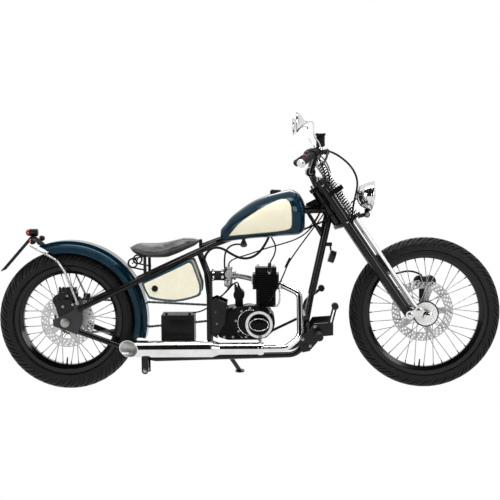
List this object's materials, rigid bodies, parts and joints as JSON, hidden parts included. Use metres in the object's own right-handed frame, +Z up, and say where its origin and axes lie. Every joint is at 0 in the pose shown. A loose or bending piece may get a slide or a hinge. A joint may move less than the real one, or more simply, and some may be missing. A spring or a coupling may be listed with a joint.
{
  "type": "chopper motorcycle",
  "caption": "Light chopper motorcycle with a raked spring fork, rigid tube frame, one upright cylinder and a side stand.",
  "frame": {"origin": "on the floor under the middle of the leaning bike's length and width", "axes": "+X towards the front wheel, +Y to the rider's left, +Z up"},
  "size_m": [2.2549, 0.7773, 1.2664],
  "materials": {
    "black_frame": "gloss black enamel",
    "teal_paint": "metallic teal enamel",
    "cream_paint": "cream enamel with a teal edge",
    "chrome": "polished chrome",
    "black_rim": "gloss black",
    "hub_metal": "satin cast aluminium with steel spokes",
    "disc_steel": "ground steel",
    "tyre_rubber": "matte black rubber",
    "black_engine": "black engine enamel",
    "cast_alloy": "raw die casting and its polished trim",
    "black_rubber": "moulded black rubber",
    "black_parts": "black plastic and paint",
    "seat_leather": "black grained leather",
    "clear_glass": "clear lamp glass",
    "red_lens": "red and amber lens plastic"
  },
  "bodies": {
    "chassis": {"frame_spine": "black_frame", "frame_downtube": "black_frame", "frame_cradle_left": "black_frame", "frame_cradle_right": "black_frame", "frame_stays": "black_frame", "frame_seat_tubes": "black_frame", "axle_plates": "black_frame", "fuel_tank": "teal_paint", "tank_cap": "black_parts", "seat": "seat_leather", "seat_mounts": "black_frame", "seat_springs": "chrome", "rear_fender": "teal_paint", "fender_struts": "chrome", "plate_bracket": "black_frame", "tail_lamp": "red_lens", "rear_indicators": "red_lens", "crankcase": "black_engine", "drive_sprocket": "black_frame", "cylinder": "black_engine", "cylinder_head": "black_engine", "clutch_cover": "black_engine", "cover_ring": "cast_alloy", "left_cover": "black_engine", "engine_mounts": "black_frame", "carburettor": "cast_alloy", "air_hose": "black_rubber", "exhaust_header": "chrome", "muffler": "chrome", "muffler_bracket": "black_frame", "chain": "disc_steel", "rear_axle": "chrome", "rear_caliper": "black_parts", "foot_controls": "black_frame", "pedals": "black_rubber", "horn": "black_parts", "battery": "black_parts", "side_boxes": "cream_paint"},
    "fork": {"fork_yokes": "black_frame", "fork_legs": "black_frame", "fork_rods": "chrome", "fork_springs": "chrome", "fork_rockers": "chrome", "handlebar": "chrome", "grips": "black_rubber", "levers": "black_parts", "mirrors": "chrome", "headlamp": "chrome", "lamp_lens": "clear_glass", "front_caliper": "black_parts"},
    "front_wheel": {"front_tyre": "tyre_rubber", "front_rim": "black_rim", "front_hub": "hub_metal", "front_disc": "disc_steel"},
    "rear_wheel": {"rear_tyre": "tyre_rubber", "rear_rim": "black_rim", "rear_hub": "hub_metal", "rear_disc": "disc_steel", "rear_sprocket": "disc_steel"},
    "side_stand": {"side_stand": "black_frame"}
  },
  "joints": [
    {"name": "steering", "type": "hinge", "parent": "chassis", "child": "fork", "pos_m": [0.3215, -0.03223, 0.86153], "axis": [-0.5563, 0.1157, 0.8229], "range_deg": [-35, 35]},
    {"name": "front_wheel_spin", "type": "hinge", "parent": "fork", "child": "front_wheel", "pos_m": [0.789, -0.10614, 0.33563], "axis": [0, 0.9903, -0.1392], "continuous": true},
    {"name": "rear_wheel_spin", "type": "hinge", "parent": "chassis", "child": "rear_wheel", "pos_m": [-0.811, -0.10918, 0.31398], "axis": [0, 0.9903, -0.1392], "continuous": true},
    {"name": "stand_fold", "type": "hinge", "parent": "chassis", "child": "side_stand", "pos_m": [-0.11078, -0.01968, 0.13395], "axis": [-0.2357, 0.969, -0.0745], "range_deg": [0, 97]}
  ]
}
